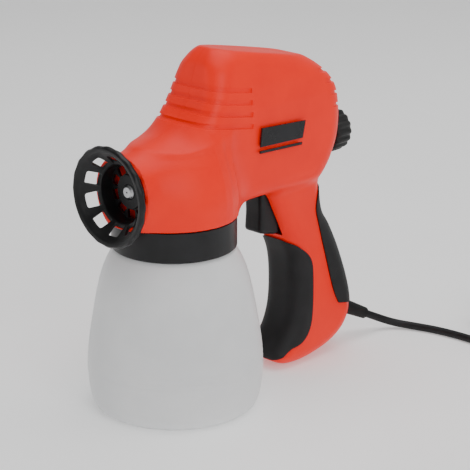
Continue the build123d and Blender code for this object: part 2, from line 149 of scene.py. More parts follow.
M = {}
M["orange"] = surface("orange_plastic", (0.92, 0.0105, 0.0002), (0.99, 0.0145, 0.0004),
                      rough=(0.36, 0.46), scale=38, fine=2600, bump=0.05, specular=0.22)
M["grip"] = surface("grip_rubber", (0.0075, 0.0075, 0.008), (0.014, 0.014, 0.015),
                    rough=(0.5, 0.66), scale=60, fine=1900, bump=0.35, bump_distance=0.0003)
M["black"] = surface("black_plastic", (0.006, 0.006, 0.0065), (0.011, 0.011, 0.012),
                     rough=(0.3, 0.42), scale=70, fine=2200, bump=0.1)
M["guard"] = surface("guard_plastic", (0.0055, 0.0055, 0.006), (0.0105, 0.0105, 0.011),
                     rough=(0.3, 0.42), scale=80, fine=2200, bump=0.12)
M["knob"] = surface("knob_plastic", (0.008, 0.0082, 0.008), (0.015, 0.0155, 0.015),
                    rough=(0.42, 0.55), scale=80, fine=1900, bump=0.2)
M["trigger"] = surface("trigger_plastic", (0.0055, 0.0055, 0.006), (0.010, 0.010, 0.011),
                       rough=(0.34, 0.46), scale=60, fine=2300, bump=0.12)
M["badge"] = surface("badge_plate", (0.004, 0.004, 0.005), (0.009, 0.009, 0.011),
                     rough=(0.22, 0.32), scale=60, fine=2400, bump=0.05)
M["print"] = surface("badge_print", (0.55, 0.55, 0.56), (0.68, 0.68, 0.69),
                     rough=(0.35, 0.45), scale=200, fine=2400, bump=0.03)
M["cord"] = surface("cord_rubber", (0.006, 0.006, 0.0065), (0.013, 0.013, 0.014),
                    rough=(0.45, 0.6), scale=120, fine=2600, bump=0.2)
M["seal"] = surface("seal_rubber", (0.006, 0.006, 0.006), (0.012, 0.012, 0.012),
                    rough=(0.6, 0.75), scale=100, fine=2000, bump=0.25)
M["steel"] = surface("machined_steel", (0.42, 0.42, 0.43), (0.62, 0.62, 0.63),
                     rough=(0.22, 0.36), scale=60, fine=900, bump=0.12, metallic=1.0,
                     stretch=(1, 14, 1))
M["spring"] = surface("spring_steel", (0.35, 0.35, 0.36), (0.55, 0.55, 0.56),
                      rough=(0.25, 0.4), scale=150, fine=1500, bump=0.1, metallic=1.0)
M["cast"] = surface("die_cast", (0.38, 0.39, 0.40), (0.52, 0.53, 0.54),
                    rough=(0.42, 0.6), scale=140, fine=1100, bump=0.3, metallic=1.0)
M["brass"] = surface("turned_brass", (0.55, 0.36, 0.13), (0.72, 0.50, 0.2),
                     rough=(0.2, 0.34), scale=60, fine=1000, bump=0.1, metallic=1.0,
                     stretch=(1, 14, 1))
M["core"] = surface("laminated_core", (0.13, 0.13, 0.14), (0.30, 0.30, 0.31),
                    rough=(0.4, 0.6), scale=30, fine=900, bump=0.4, metallic=1.0,
                    stretch=(40, 1, 1))
M["copper"] = surface("copper_winding", (0.30, 0.09, 0.03), (0.62, 0.22, 0.08),
                      rough=(0.25, 0.4), scale=30, fine=800, bump=0.6, metallic=1.0,
                      stretch=(1, 30, 1))
M["white"] = surface("white_moulding", (0.68, 0.68, 0.66), (0.80, 0.80, 0.78),
                     rough=(0.4, 0.5), scale=90, fine=2000, bump=0.1)
M["wire"] = surface("wire_insulation", (0.01, 0.04, 0.22), (0.02, 0.07, 0.32),
                    rough=(0.35, 0.45), scale=90, fine=2000, bump=0.08)


def milky_material():
    """Natural polyethylene: thin, milky, lets light through unevenly."""
    mat, nt, bsdf = new_material("milky_polyethylene")
    n, l = nt.nodes, nt.links
    coord = n.new("ShaderNodeTexCoord")
    cloud = n.new("ShaderNodeTexNoise")
    cloud.inputs["Scale"].default_value = 26.0
    cloud.inputs["Detail"].default_value = 3.0
    l.new(coord.outputs["Object"], cloud.inputs["Vector"])
    ramp = n.new("ShaderNodeValToRGB")
    ramp.color_ramp.elements[0].position = 0.3
    ramp.color_ramp.elements[0].color = (0.84, 0.85, 0.86, 1)
    ramp.color_ramp.elements[1].position = 0.72
    ramp.color_ramp.elements[1].color = (0.93, 0.935, 0.94, 1)
    l.new(cloud.outputs["Fac"], ramp.inputs["Fac"])
    l.new(ramp.outputs["Color"], bsdf.inputs["Base Color"])
    fine = n.new("ShaderNodeTexNoise")
    fine.inputs["Scale"].default_value = 900.0
    l.new(coord.outputs["Object"], fine.inputs["Vector"])
    bp = n.new("ShaderNodeBump")
    bp.inputs["Strength"].default_value = 0.08
    bp.inputs["Distance"].default_value = 0.0004
    l.new(fine.outputs["Fac"], bp.inputs["Height"])
    l.new(bp.outputs["Normal"], bsdf.inputs["Normal"])
    rr = n.new("ShaderNodeMapRange")
    rr.inputs["To Min"].default_value = 0.34
    rr.inputs["To Max"].default_value = 0.46
    l.new(cloud.outputs["Fac"], rr.inputs["Value"])
    l.new(rr.outputs["Result"], bsdf.inputs["Roughness"])
    bsdf.inputs["Subsurface Weight"].default_value = 0.35
    bsdf.inputs["Subsurface Radius"].default_value = (0.012, 0.012, 0.012)
    bsdf.inputs["Subsurface Scale"].default_value = 1.0
    bsdf.inputs["Transmission Weight"].default_value = 0.05
    bsdf.inputs["IOR"].default_value = 1.2
    return mat


M["milky"] = milky_material()


def tube_material():
    mat, nt, bsdf = new_material("clear_tube")
    n, l = nt.nodes, nt.links
    coord = n.new("ShaderNodeTexCoord")
    cloud = n.new("ShaderNodeTexNoise")
    cloud.inputs["Scale"].default_value = 120.0
    l.new(coord.outputs["Object"], cloud.inputs["Vector"])
    ramp = n.new("ShaderNodeValToRGB")
    ramp.color_ramp.elements[0].color = (0.70, 0.71, 0.70, 1)
    ramp.color_ramp.elements[1].color = (0.86, 0.87, 0.86, 1)
    l.new(cloud.outputs["Fac"], ramp.inputs["Fac"])
    l.new(ramp.outputs["Color"], bsdf.inputs["Base Color"])
    bsdf.inputs["Roughness"].default_value = 0.25
    bsdf.inputs["Transmission Weight"].default_value = 0.5
    return mat


M["tube"] = tube_material()


# ------------------------------------------------------------------ mesh helpers
def mesh_object(name, verts, faces, mat, smooth_angle=None):
    me = bpy.data.meshes.new(name)
    me.from_pydata([tuple(v) for v in verts], [], [tuple(f) for f in faces])
    me.update()
    ob = bpy.data.objects.new(name, me)
    COLL.objects.link(ob)
    me.materials.append(mat)
    finish_shading(ob, smooth_angle)
    return ob


def finish_shading(ob, angle=None):
    me = ob.data
    me.shade_smooth()
    if angle is not None:
        me.set_sharp_from_angle(angle=math.radians(angle))


def fix_normals(ob):
    bm = bmesh.new()
    bm.from_mesh(ob.data)
    bmesh.ops.recalc_face_normals(bm, faces=bm.faces)
    bm.to_mesh(ob.data)
    bm.free()


def apply_modifiers(ob):
    dg = bpy.context.evaluated_depsgraph_get()
    me = bpy.data.meshes.new_from_object(ob.evaluated_get(dg))
    ob.modifiers.clear()
    old = ob.data
    ob.data = me
    bpy.data.meshes.remove(old)


def boolean(ob, cutters, operation="DIFFERENCE", solver="MANIFOLD"):
    for c in cutters:
        mod = ob.modifiers.new("cut", "BOOLEAN")
        mod.object = c
        mod.operation = operation
        try:
            mod.solver = solver
        except TypeError:
            mod.solver = "EXACT"
        apply_modifiers(ob)


def drop(*objects):
    for ob in objects:
        bpy.data.objects.remove(ob, do_unlink=True)


def lathe(name, profile, mat, axis="Z", centre=(0, 0, 0), n=128, mod=None,
          closed=True, angle=35):
    """Turned body: profile is a list of (radius, height) in millimetres."""
    verts, faces = [], []
    m = len(profile)
    for j in range(n):
        a = 2 * math.pi * j / n
        for i, (r, h) in enumerate(profile):
            rr = r + (mod(a, i, r, h) if mod else 0.0)
            c, s = rr * math.cos(a), rr * math.sin(a)
            if axis == "Z":
                p = (centre[0] + c, centre[1] + s, centre[2] + h)
            else:
                p = (centre[0] + c, centre[1] + h, centre[2] + s)
            verts.append([v * MM for v in p])
    last = m if closed else m - 1
    for j in range(n):
        k = (j + 1) % n
        for i in range(last):
            i2 = (i + 1) % m
            faces.append((j * m + i, j * m + i2, k * m + i2, k * m + i))
    ob = mesh_object(name, verts, faces, mat)
    bm = bmesh.new()
    bm.from_mesh(ob.data)
    bmesh.ops.remove_doubles(bm, verts=bm.verts, dist=1e-6)
    bmesh.ops.recalc_face_normals(bm, faces=bm.faces)
    bm.to_mesh(ob.data)
    bm.free()
    finish_shading(ob, angle)
    return ob


def box(name, lo, hi, rot=None):
    """Axis-aligned cutter box, millimetres; rot is an optional matrix about its centre."""
    c = [(a + b) / 2 for a, b in zip(lo, hi)]
    h = [(b - a) / 2 for a, b in zip(lo, hi)]
    v = []
    for sx in (-1, 1):
        for sy in (-1, 1):
            for sz in (-1, 1):
                p = Vector((sx * h[0], sy * h[1], sz * h[2]))
                if rot is not None:
                    p = rot @ p
                v.append([(c[i] + p[i]) * MM for i in range(3)])
    f = [(0, 1, 3, 2), (4, 6, 7, 5), (0, 4, 5, 1), (2, 3, 7, 6), (0, 2, 6, 4), (1, 5, 7, 3)]
    ob = mesh_object(name, v, f, M["black"])
    fix_normals(ob)
    return ob


def cylinder(name, start, end, r0, r1=None, n=48):
    """Cutter or plain cylinder from start to end, millimetres."""
    r1 = r0 if r1 is None else r1
    a, b = Vector(start), Vector(end)
    q = (b - a).to_track_quat("Z", "Y").to_matrix()
    v, f = [], []
    for p, r in ((a, r0), (b, r1)):
        for j in range(n):
            t = 2 * math.pi * j / n
            w = p + q @ Vector((r * math.cos(t), r * math.sin(t), 0))
            v.append([x * MM for x in w])
    for j in range(n):
        k = (j + 1) % n
        f.append((j, k, n + k, n + j))
    f.append(tuple(range(n - 1, -1, -1)))
    f.append(tuple(range(n, 2 * n)))
    ob = mesh_object(name, v, f, M["black"])
    fix_normals(ob)
    return ob


# ------------------------------------------------------------------ cord
CORD_D = 5.4
COIL_C = (97.0, 252.0)
ROUTE = [(5.0, 179.0, 14.6), (7.56, 189.45, 9.28), (14.5, 199.5, 4.4), (26.5, 207.5, 2.8),
         (45.0, 213.5, 2.8), (70.0, 216.2, 2.8)]
PLUG = (COIL_C[0] - 20.0, COIL_C[1] + 12.5, 23.1)     # middle of the plug's body


def cord_points():
    """The lead's control points: the route, then the turns of the wound coil, then the tail."""
    pts = list(ROUTE)
    r_in, r_mid, r_out = 31.0 - CORD_D, 31.0, 31.0 + CORD_D
    turns = [(r_out, 2.8), (r_mid, 2.8), (r_in, 2.8), (r_in, 8.1), (r_mid, 8.1), (r_out, 8.1),
             (r_mid, 13.4), (r_in, 13.4), (r_out, 13.4)]
    per = 16
    a0 = -math.pi / 2
    grow = 1.0 / math.cos(math.pi / per)
    last = int(8.125 * per)
    for i in range(last + 1):
        t = i / per
        k = min(int(t), len(turns) - 1)
        u = t - k
        r0, z0 = turns[k]
        r1, z1 = turns[min(k + 1, len(turns) - 1)]
        s = min(max(0.0, (u - 0.5) / 0.5), 1.0)
        s = s * s * (3 - 2 * s)
        r, z = r0 + (r1 - r0) * s, z0 + (z1 - z0) * s
        a = a0 + 2 * math.pi * t
        pts.append((COIL_C[0] + r * grow * math.cos(a), COIL_C[1] + r * grow * math.sin(a), z))
    # up over the turns in a wide bend and into the plug's tail
    cx, cy = PLUG[0] + 29.5, PLUG[1] - 22.0
    for deg, z in ((-22, 15.4), (8, 18.6), (38, 21.6), (66, 23.0)):
        a = math.radians(deg)
        pts.append((cx + 22.8 * math.cos(a), cy + 22.8 * math.sin(a), z))
    pts += [(PLUG[0] + 29.5, PLUG[1], PLUG[2]), (PLUG[0] + 24.0, PLUG[1], PLUG[2])]
    return pts


def make_cord():
    cu = bpy.data.curves.new("mains_lead", "CURVE")
    cu.dimensions = "3D"
    sp = cu.splines.new("NURBS")
    pts = cord_points()
    sp.points.add(len(pts) - 1)
    for p, c in zip(sp.points, pts):
        p.co = (c[0] * MM, c[1] * MM, c[2] * MM, 1.0)
    sp.order_u = 3
    sp.use_endpoint_u = True
    cu.bevel_depth = CORD_D / 2 * MM
    cu.bevel_resolution = 6
    cu.resolution_u = 8
    cu.use_fill_caps = True
    cu.materials.append(M["cord"])
    ob = bpy.data.objects.new("mains_lead", cu)
    COLL.objects.link(ob)
    return ob


lead = make_cord()
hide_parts("mains_cord", "cord_coil")
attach(lead, "gun")


def rounded_loop(w, h, r, n=8):
    """Corner-rounded rectangle as a list of points round (0, 0)."""
    pts = []
    for cx, cy, a0 in ((w / 2 - r, h / 2 - r, 0), (-w / 2 + r, h / 2 - r, 90),
                       (-w / 2 + r, -h / 2 + r, 180), (w / 2 - r, -h / 2 + r, 270)):
        for i in range(n + 1):
            a = math.radians(a0 + 90 * i / n)
            pts.append((cx + r * math.cos(a), cy + r * math.sin(a)))
    return pts


def loft_rings(name, rings, mat, cap=True, angle=35):
    """Skin through rings of equal length, millimetres."""
    m = len(rings[0])
    verts = [[c * MM for c in p] for ring in rings for p in ring]
    faces = []
    for i in range(len(rings) - 1):
        for j in range(m):
            k = (j + 1) % m
            faces.append((i * m + j, i * m + k, (i + 1) * m + k, (i + 1) * m + j))
    if cap:
        faces.append(tuple(range(m - 1, -1, -1)))
        base = (len(rings) - 1) * m
        faces.append(tuple(range(base, base + m)))
    ob = mesh_object(name, verts, faces, mat)
    fix_normals(ob)
    finish_shading(ob, angle)
    return ob


def make_plug():
    """Moulded plug: waisted body, ribbed tail round the lead and two round pins."""
    px, py, pz = PLUG
    rings = []
    stations = [(17.5, 20.0, 10.0, 4.6), (16.6, 23.4, 12.4, 5.6), (14.5, 25.4, 13.6, 6.0),
                (9.0, 25.0, 13.5, 6.2), (0.0, 22.6, 12.9, 6.0), (-7.0, 23.4, 13.2, 6.2),
                (-13.0, 25.6, 13.7, 6.2), (-16.5, 25.6, 13.7, 6.2), (-17.5, 24.4, 12.6, 5.6)]
    for x, w, h, r in stations:
        rings.append([(px + x, py + a, pz + b) for a, b in rounded_loop(w, h, r)])
    body = loft_rings("plug_body", rings, M["black"], angle=50)
    sub = body.modifiers.new("s", "SUBSURF")
    sub.levels = sub.render_levels = 1
    apply_modifiers(body)
    finish_shading(body, 50)
    # tail: tapered, with ring grooves round it
    rings, x = [], 16.8
    n = 40
    while x < 29.5:
        u = (x - 16.8) / 12.7
        r = 5.4 + (3.6 - 5.4) * u
        g = 0.0 if x < 18.5 else 0.75 * max(0.0, math.sin((x - 18.5) * 2 * math.pi / 2.6))
        rings.append([(px + x, py + (r - g) * math.cos(2 * math.pi * j / n),
                       pz + (r - g) * math.sin(2 * math.pi * j / n)) for j in range(n)])
        x += 0.35
    tail = loft_rings("plug_tail", rings, M["black"], angle=60)
    pins = []
    for s in (-1, 1):
        rings = []
        for d, r in ((0, 2.3), (9, 2.3), (9.1, 2.0), (17.2, 2.0), (18.4, 1.6), (19.0, 0.8)):
            rings.append([(px - 17.0 - d, py + 9.5 * s + r * math.cos(2 * math.pi * j / 24),
                           pz + r * math.sin(2 * math.pi * j / 24)) for j in range(24)])
        pins.append(loft_rings(f"plug_pin_{'ab'[(s + 1) // 2]}", rings, M["brass"], angle=35))
    for ob in [body, tail] + pins:
        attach(ob, "gun")
    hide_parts("plug")
    return [body, tail] + pins


plug_pieces = make_plug()

# ------------------------------------------------------------------ CAD pieces kept
FINISH = {
    "steel": "steel", "grip_rubber": "grip", "badge_plate": "badge", "black_plastic": "black",
    "seal_rubber": "seal", "pump_metal": "cast", "brass": "brass", "spring_steel": "spring",
    "clear_tube": "tube", "filter_plastic": "white", "guard_plastic": "guard",
    "core_steel": "core", "copper_coil": "copper", "knob_plastic": "knob",
    "trigger_plastic": "trigger", "boot_rubber": "seal", "wire_insulation": "wire",
    "cord_rubber": "cord", "plug_plastic": "black", "orange_housing": "orange",
    "container_milky": "milky",
}


def dress_cad():
    """Every CAD node gets the finish of its material slot."""
    for sub in frame["record"]["subparts"]:
        name = sub.get("node") or sub.get("name")
        ob = frame["nodes"].get(name)
        if ob is None:
            continue
        ob = bpy.data.objects[ob] if isinstance(ob, str) else ob
        ob.data.materials.clear()
        ob.data.materials.append(M[FINISH[sub["material_slot"]]])


# ------------------------------------------------------------------ floor and light
def soft_light(name, where, aim, size, power, colour=(1, 1, 1)):
    data = bpy.data.lights.new(name, "AREA")
    data.shape = "RECTANGLE"
    data.size, data.size_y = size
    data.energy = power
    data.color = colour
    ob = bpy.data.objects.new(name, data)
    COLL.objects.link(ob)
    ob.location = where
    ob.rotation_euler = (Vector(where) - Vector(aim)).to_track_quat("Z", "Y").to_euler()
    return ob


def make_floor():
    """Pale floor that curves up into a pale wall all the way round."""
    prof = [(0.0, 0.0), (0.6, 0.0), (1.6, 0.0), (3.0, 0.0), (4.2, 0.0)]
    for i in range(1, 13):
        t = math.radians(90 * i / 12)
        prof.append((4.2 + 1.6 * math.sin(t), 1.6 - 1.6 * math.cos(t)))
    prof += [(5.8, 2.4), (5.8, 3.4)]
    n, m = 96, len(prof)
    verts = [(0.0, 0.0, 0.0)]
    for j in range(n):
        c, sn = math.cos(2 * math.pi * j / n), math.sin(2 * math.pi * j / n)
        verts += [(r * c, r * sn, z) for r, z in prof[1:]]
    k = m - 1
    faces = []
    for j in range(n):
        q = (j + 1) % n
        faces.append((0, 1 + j * k, 1 + q * k))
        for i in range(k - 1):
            faces.append((1 + j * k + i, 1 + j * k + i + 1, 1 + q * k + i + 1, 1 + q * k + i))
    mat = surface("studio_floor", (0.86, 0.86, 0.86), (0.90, 0.90, 0.90), rough=(0.7, 0.8),
                  scale=3, fine=40, bump=0.01)
    bsdf = mat.node_tree.nodes["Principled BSDF"]
    bsdf.inputs["Emission Color"].default_value = (1, 1, 1, 1)
    bsdf.inputs["Emission Strength"].default_value = 0.26
    ob = mesh_object("floor", verts, faces, mat)
    return ob


dress_cad()
make_floor()
# ------------------------------------------------------------------ housing shape
HEAD_S = [(0, 176), (4.6, 186), (10, 195), (14.2, 204), (17.2, 214), (21.5, 222.8), (32, 230.4),
          (50, 231.4), (68, 227.4), (87, 221.6), (104, 214.8), (118, 206.2), (127, 197),
          (132.4, 185.5), (134.6, 171), (131.8, 158), (126, 147), (119.5, 137.5), (110, 130),
          (92, 128.6), (66, 129), (38, 129), (12, 132), (0, 142), (-4, 158)]
HANDLE_S = [(76, 150), (100, 158), (124, 150), (122.5, 136), (121.8, 121), (124.5, 106),
            (131.5, 95), (139, 81), (145, 67.5), (150.5, 53), (154.3, 39), (154.6, 26),
            (148, 14.5), (135.5, 6.6), (118, 2.0), (101, 0.5), (88, 2.6), (80.5, 9),
            (86, 17.5), (93.5, 28), (97.8, 42), (98.4, 62), (96.4, 77), (91.5, 89), (84.5, 104),
            (76.5, 120), (71, 134)]
FRONT_GRIP_S = [(76, 92), (92, 88.5), (101, 83), (108.5, 75), (111, 64), (111, 38),
                (108.5, 25), (102, 17.5), (92, 14.6), (74, 12)]
REAR_GRIP_S = [(136, 128), (124, 125), (117, 119), (113.6, 109), (117, 95), (124, 72),
               (131, 50), (136, 39), (141, 35.4), (166, 34.2), (166, 60), (150, 110)]


def smooth_closed(pts, per=6):
    """Closed Catmull-Rom outline through pts."""
    n, out = len(pts), []
    p = np.array(pts, float)
    for i in range(n):
        a, b, c, d = p[i - 1], p[i], p[(i + 1) % n], p[(i + 2) % n]
        for k in range(per):
            t = k / per
            out.append(0.5 * ((2 * b) + (c - a) * t + (2 * a - 5 * b + 4 * c - d) * t * t
                              + (3 * b - a - 3 * c + d) * t ** 3))
    return np.array(out)


def outline_distance(poly, y, z):
    """Signed distance from points (y, z) to a closed outline, negative inside."""
    shape = y.shape
    q = np.stack([y.ravel(), z.ravel()], 1)
    best = np.full(len(q), 1e9)
    inside = np.zeros(len(q), bool)
    for i in range(len(poly)):
        a, b = poly[i - 1], poly[i]
        ab = b - a
        t = np.clip(((q - a) @ ab) / (ab @ ab + 1e-12), 0, 1)
        d = q - a - t[:, None] * ab
        best = np.minimum(best, (d * d).sum(1))
        cond = (a[1] > q[:, 1]) != (b[1] > q[:, 1])
        if ab[1] != 0:
            cross = a[0] + (q[:, 1] - a[1]) * ab[0] / ab[1]
            inside ^= cond & (q[:, 0] < cross)
    d = np.sqrt(best)
    return np.where(inside, -d, d).reshape(shape)


def smin(a, b, k):
    h = np.maximum(k - np.abs(a - b), 0.0) / k
    return np.minimum(a, b) - h * h * k * 0.25


def smax(a, b, k):
    return -smin(-a, -b, k)


def rounded_slab(d2, x, half, r):
    """A flat outline given thickness, with its edges rounded to r."""
    q1, q2 = d2 + r, np.abs(x) - half + r
    return (np.minimum(np.maximum(q1, q2), 0.0)
            + np.sqrt(np.maximum(q1, 0) ** 2 + np.maximum(q2, 0) ** 2) - r)


def turned(rho, h, profile):
    """Roughly signed distance to a turned body; profile is (height, radius), rising."""
    hs = np.array([p[0] for p in profile], float)
    rs = np.array([p[1] for p in profile], float)
    slope = np.gradient(rs, hs)
    rad = np.interp(h, hs, rs)
    sl = np.interp(h, hs, slope)
    side = (rho - rad) / np.sqrt(1 + sl * sl)
    return smax(side, np.maximum(hs[0] - h, h - hs[-1]), 1.0)


class Housing:
    """The outer surface of the moulded housing as a field on a grid, millimetres."""

    def __init__(self, step):
        self.step = step
        self.lo = np.array([-42.0, -48.0, -4.0])
        n = (np.array([42.0, 160.0, 234.0]) - self.lo) / step
        self.n = np.ceil(n).astype(int) + 1
        x = self.lo[0] + step * np.arange(self.n[0])
        y = self.lo[1] + step * np.arange(self.n[1])
        z = self.lo[2] + step * np.arange(self.n[2])
        Y2, Z2 = np.meshgrid(y, z, indexing="ij")
        head2 = outline_distance(smooth_closed(HEAD_S), Y2, Z2)
        hand2 = outline_distance(smooth_closed(HANDLE_S), Y2, Z2)
        X = x[:, None, None]
        Y, Z = Y2[None], Z2[None]
        # the head narrows towards its crown and towards its blunt front
        half = np.interp(Z2, [150, 176, 190, 204, 216, 226, 231],
                         [27, 27, 26.2, 24.0, 21.0, 17.5, 15.0])[None]
        head = rounded_slab(head2[None], X, half, 13.0)
        # plan outline: a wide rounded front and back
        px = np.abs(X) - HEAD_HALF + 21.0
        py = np.abs(Y - 67.0) - 70.6 + 21.0
        plan = (np.minimum(np.maximum(px, py), 0.0)
                + np.sqrt(np.maximum(px, 0) ** 2 + np.maximum(py, 0) ** 2) - 21.0)
        head = smax(head, plan, 6.0)
        # flat facet along the crown
        ny, nz = 0.189, 0.982
        facet = (Y - 30.0) * ny + (Z - 229.0) * nz
        head = smax(head, facet, 0.9)
        hand = rounded_slab(hand2[None], X, GRIP_HALF, 11.0)
        # spray end: a turned snout on the spray axis
        rho = np.sqrt(X * X + (Z - ZS) ** 2)
        snout = turned(rho, Y + 0 * X, [(-43.7, 24.0), (-41, 24.3), (-34, 24.9), (-28, 26.0),
                                        (-22, 27.4), (-15, 29.4), (-8, 31.6), (0, 34.2),
                                        (7, 35.6), (14, 32.0), (18, 26.0)])
        rc = np.sqrt(X * X + Y * Y)
        skirt = turned(rc, Z + 0 * X, [(122, 40.3), (138, 40.2), (142, 39.7), (148, 38.0),
                                       (153, 35.8), (158, 33.0), (164, 28.6), (170, 22.0)])
        body = smin(smin(head, hand, 8.0), smin(snout, skirt, 12.0), 13.0)
        # flat foot over the collar, in front of the handle
        foot = 126.2 - Z + 0 * X + 0 * Y
        front = 52.0 - Y
        cut = smin(-foot, front * -1.0, 0.5)
        cut = np.minimum(Z - 126.2, np.inf)
        keep = np.minimum(126.2 - Z, 300.0) + 0 * X + 0 * Y
        region = np.maximum(keep, Y - 52.0)       # inside: below the foot and ahead of the handle
        body = np.maximum(body, -np.maximum(Z - 126.2, Y - 52.0))
        self.f = body.astype(np.float64)

    def sample(self, p):
        q = (p - self.lo) / self.step
        i = np.clip(np.floor(q).astype(int), 0, self.n - 2)
        t = np.clip(q - i, 0, 1)
        f = self.f
        out = 0
        for dx in (0, 1):
            for dy in (0, 1):
                for dz in (0, 1):
                    w = ((t[:, 0] if dx else 1 - t[:, 0]) * (t[:, 1] if dy else 1 - t[:, 1])
                         * (t[:, 2] if dz else 1 - t[:, 2]))
                    out = out + w * f[i[:, 0] + dx, i[:, 1] + dy, i[:, 2] + dz]
        return out

    def mesh(self, offset, polish=3):
        """Surface nets of the field at a distance from the outer surface."""
        return nets(self.f - offset, self.lo, self.step, polish)


def nets(f, lo, step, polish=3):
    s = f < 0
    nx, ny, nz = f.shape
    cnt = np.zeros((nx - 1, ny - 1, nz - 1))
    acc = np.zeros((nx - 1, ny - 1, nz - 1, 3))
    corner = [(i, j, k) for i in (0, 1) for j in (0, 1) for k in (0, 1)]
    for a in corner:
        for ax in range(3):
            if a[ax]:
                continue
            b = list(a)
            b[ax] = 1
            fa = f[a[0]:nx - 1 + a[0], a[1]:ny - 1 + a[1], a[2]:nz - 1 + a[2]]
            fb = f[b[0]:nx - 1 + b[0], b[1]:ny - 1 + b[1], b[2]:nz - 1 + b[2]]
            cross = (fa < 0) != (fb < 0)
            t = np.where(cross, fa / np.where(cross, fa - fb, 1), 0)
            cnt += cross
            for c in range(3):
                acc[..., c] += np.where(cross, a[c] + (t if c == ax else 0), 0)
    active = cnt > 0
    idx = -np.ones(active.shape, int)
    idx[active] = np.arange(active.sum())
    cell = np.argwhere(active)
    v = lo + step * (cell + acc[active] / cnt[active][:, None])
    faces = []
    for ax in range(3):
        o1, o2 = [(1, 2), (2, 0), (0, 1)][ax]
        a = [slice(None)] * 3
        b = [slice(None)] * 3
        a[ax], b[ax] = slice(0, -1), slice(1, None)
        sa, sb = s[tuple(a)], s[tuple(b)]
        e = np.argwhere(sa != sb)
        e = e[(e[:, o1] > 0) & (e[:, o2] > 0)
              & (e[:, o1] < f.shape[o1] - 1) & (e[:, o2] < f.shape[o2] - 1)]
        flip = s[tuple(a)][tuple(e.T)]
        d1, d2 = np.zeros(3, int), np.zeros(3, int)
        d1[o1], d2[o2] = 1, 1
        q = np.stack([idx[tuple((e - d1 - d2).T)], idx[tuple((e - d2).T)],
                      idx[tuple(e.T)], idx[tuple((e - d1).T)]], 1)
        q[~flip] = q[~flip][:, ::-1]
        faces.append(q)
    faces = np.concatenate(faces)
    # draw every vertex onto the surface
    g = np.stack(np.gradient(f, step), -1)

    def look(arr, p):
        q = (p - lo) / step
        i = np.clip(np.floor(q).astype(int), 0, np.array(f.shape) - 2)
        t = np.clip(q - i, 0, 1)
        out = 0
        for c in corner:
            w = np.ones(len(p))
            for ax in range(3):
                w = w * (t[:, ax] if c[ax] else 1 - t[:, ax])
            val = arr[i[:, 0] + c[0], i[:, 1] + c[1], i[:, 2] + c[2]]
            out = out + (w[:, None] * val if val.ndim == 2 else w * val)
        return out
    for _ in range(polish):
        d = look(f, v)
        n = look(g, v)
        n2 = (n * n).sum(1) + 1e-9
        move = -(d / n2)[:, None] * n
        size = np.sqrt((move ** 2).sum(1))[:, None]
        v = v + move * np.minimum(1.0, 0.6 * step / np.maximum(size, 1e-9))
    return v, faces


def quick_mesh(name, v, faces, mat, scale=MM):
    me = bpy.data.meshes.new(name)
    me.vertices.add(len(v))
    me.vertices.foreach_set("co", (np.asarray(v) * scale).astype(np.float32).ravel())
    me.loops.add(len(faces) * 4)
    me.loops.foreach_set("vertex_index", np.asarray(faces, np.int32).ravel())
    me.polygons.add(len(faces))
    me.polygons.foreach_set("loop_start", np.arange(0, len(faces) * 4, 4, dtype=np.int32))
    me.update(calc_edges=True)
    me.validate()
    ob = bpy.data.objects.new(name, me)
    COLL.objects.link(ob)
    me.materials.append(mat)
    return ob


def joined(name, parts):
    """One mesh from several, which are dropped."""
    bm = bmesh.new()
    for p in parts:
        bm.from_mesh(p.data)
    me = bpy.data.meshes.new(name)
    bm.to_mesh(me)
    bm.free()
    ob = bpy.data.objects.new(name, me)
    COLL.objects.link(ob)
    me.materials.append(parts[0].data.materials[0])
    drop(*parts)
    return ob


def prism(name, outline, x0, x1):
    """Outline in Y, Z given thickness from x0 to x1, millimetres."""
    n = len(outline)
    v = [(x * MM, p[0] * MM, p[1] * MM) for x in (x0, x1) for p in outline]
    f = [(j, (j + 1) % n, n + (j + 1) % n, n + j) for j in range(n)]
    f += [tuple(range(n - 1, -1, -1)), tuple(range(n, 2 * n))]
    ob = mesh_object(name, v, f, M["black"])
    fix_normals(ob)
    return ob


def copy_of(ob, name):
    c = ob.copy()
    c.data = ob.data.copy()
    c.name = name
    COLL.objects.link(c)
    return c


